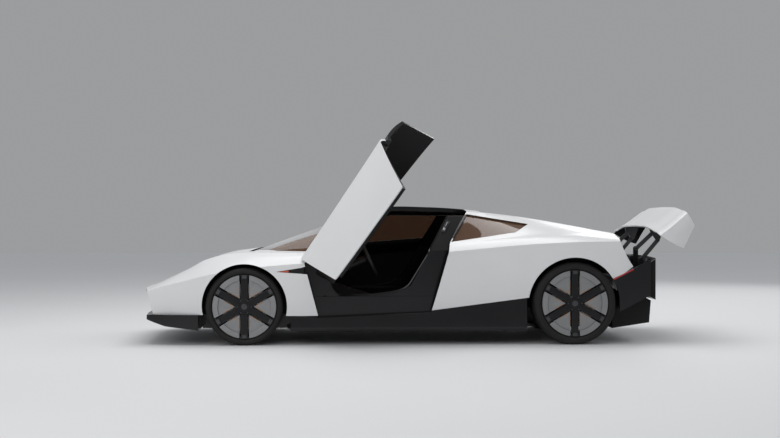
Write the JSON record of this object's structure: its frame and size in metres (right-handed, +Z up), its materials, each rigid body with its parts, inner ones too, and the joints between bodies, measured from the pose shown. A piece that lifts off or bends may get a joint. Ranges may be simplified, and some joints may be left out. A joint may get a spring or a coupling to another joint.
{
  "type": "mid-engine concept car with dihedral doors and a lifting tail",
  "caption": "Wedge-shaped mid-engine concept car in satin white with black roof and trim, left door swung up and forward, tail raised on links.",
  "frame": {"origin": "on the floor under the car's middle, midway between the axles on the centre plane", "axes": "+X forward, +Y to the driver's left, +Z up"},
  "size_m": [4.6821, 2.3729, 1.8875],
  "materials": {
    "body_white": "satin white paint",
    "gloss_black": "gloss black",
    "trim_black": "matt black",
    "tinted_glass": "brown tint, clear",
    "lamp_white": "clear lens",
    "lamp_red": "red lens",
    "lamp_amber": "amber lens",
    "tyre": "black tyre rubber",
    "rim_grey": "satin grey",
    "spoke_black": "satin black",
    "bare_metal": "machined",
    "link_steel": "dark anodised",
    "chrome_tip": "polished",
    "cabin_leather": "black leather",
    "engine_grey": "cast"
  },
  "bodies": {
    "root": {"cabin_tub": "trim_black", "front_clam": "body_white", "nose_panel": "gloss_black", "head_lamps": "lamp_white", "splitter": "gloss_black", "fender_vents": "gloss_black", "side_markers": "lamp_amber", "screen_frame": "body_white", "windscreen": "tinted_glass", "front_quarter_glass": "tinted_glass", "roof_spine": "gloss_black", "rear_clam": "body_white", "rear_quarter_glass": "tinted_glass", "wheel_liners": "trim_black", "engine_cover": "gloss_black", "side_skirts": "gloss_black", "rear_bumper": "gloss_black", "tail_lamps": "lamp_red", "exhaust": "chrome_tip", "diffuser": "trim_black", "tail_deck": "trim_black", "dashboard": "cabin_leather", "steering_wheel": "cabin_leather", "seats": "cabin_leather", "engine_block": "engine_grey", "front_suspension": "bare_metal", "rear_suspension": "bare_metal"},
    "knuckle_left": {"knuckle_left": "bare_metal"},
    "knuckle_right": {"knuckle_right": "bare_metal"},
    "wheel_front_left": {"tyre_front_left": "tyre", "rim_front_left": "rim_grey", "spokes_front_left": "spoke_black"},
    "wheel_front_right": {"tyre_front_right": "tyre", "rim_front_right": "rim_grey", "spokes_front_right": "spoke_black"},
    "wheel_rear_left": {"tyre_rear_left": "tyre", "rim_rear_left": "rim_grey", "spokes_rear_left": "spoke_black"},
    "wheel_rear_right": {"tyre_rear_right": "tyre", "rim_rear_right": "rim_grey", "spokes_rear_right": "spoke_black"},
    "door_left": {"door_skin_left": "body_white", "door_frame_left": "gloss_black", "door_glass_left": "tinted_glass"},
    "door_right": {"door_skin_right": "body_white", "door_frame_right": "gloss_black", "door_glass_right": "tinted_glass"},
    "front_links": {"front_links": "link_steel"},
    "tail": {"tail": "body_white", "tail_panel": "gloss_black", "tail_brackets": "trim_black"},
    "rear_links": {"rear_links": "link_steel"}
  },
  "joints": [
    {"name": "steer_left", "type": "hinge", "parent": "root", "child": "knuckle_left", "pos_m": [1.38, 0.74, 0.322], "axis": [0, 0, 1], "range_deg": [-30, 30]},
    {"name": "steer_right", "type": "hinge", "parent": "root", "child": "knuckle_right", "pos_m": [1.38, -0.74, 0.322], "axis": [0, 0, 1], "range_deg": [-30, 30]},
    {"name": "spin_front_left", "type": "hinge", "parent": "knuckle_left", "child": "wheel_front_left", "pos_m": [1.38, 0.8, 0.322], "axis": [0, 1, 0], "continuous": true},
    {"name": "spin_front_right", "type": "hinge", "parent": "knuckle_right", "child": "wheel_front_right", "pos_m": [1.38, -0.8, 0.322], "axis": [0, 1, 0], "continuous": true},
    {"name": "spin_rear_left", "type": "hinge", "parent": "root", "child": "wheel_rear_left", "pos_m": [-1.38, 0.795, 0.345], "axis": [0, 1, 0], "continuous": true},
    {"name": "spin_rear_right", "type": "hinge", "parent": "root", "child": "wheel_rear_right", "pos_m": [-1.38, -0.795, 0.345], "axis": [0, 1, 0], "continuous": true},
    {"name": "door_left", "type": "hinge", "parent": "root", "child": "door_left", "pos_m": [0.819, 0.8, 0.743], "axis": [0.58, 0.661, -0.476], "range_deg": [-67.8, 0]},
    {"name": "door_right", "type": "hinge", "parent": "root", "child": "door_right", "pos_m": [0.819, -0.8, 0.743], "axis": [-0.58, 0.661, 0.476], "range_deg": [0, 67.8]},
    {"name": "tail_lift", "type": "hinge", "parent": "root", "child": "front_links", "pos_m": [-2.00258, 0, 0.79353], "axis": [0, -1, 0], "range_deg": [-120, 0]},
    {"name": "tail_tilt", "type": "hinge", "parent": "front_links", "child": "tail", "pos_m": [-2.14527, 0, 0.92774], "axis": [0, 1, 0], "range_deg": [-154, 0]},
    {"name": "rear_link_turn", "type": "hinge", "parent": "root", "child": "rear_links", "pos_m": [-2.03229, 0, 0.69066], "axis": [0, -1, 0], "range_deg": [-108, 0]}
  ],
  "couplings": [
    {"joint": "steer_right", "follows": "steer_left", "ratio": 1},
    {"joint": "tail_tilt", "follows": "tail_lift", "ratio": 1.2833},
    {"joint": "rear_link_turn", "follows": "tail_lift", "ratio": 0.9}
  ]
}
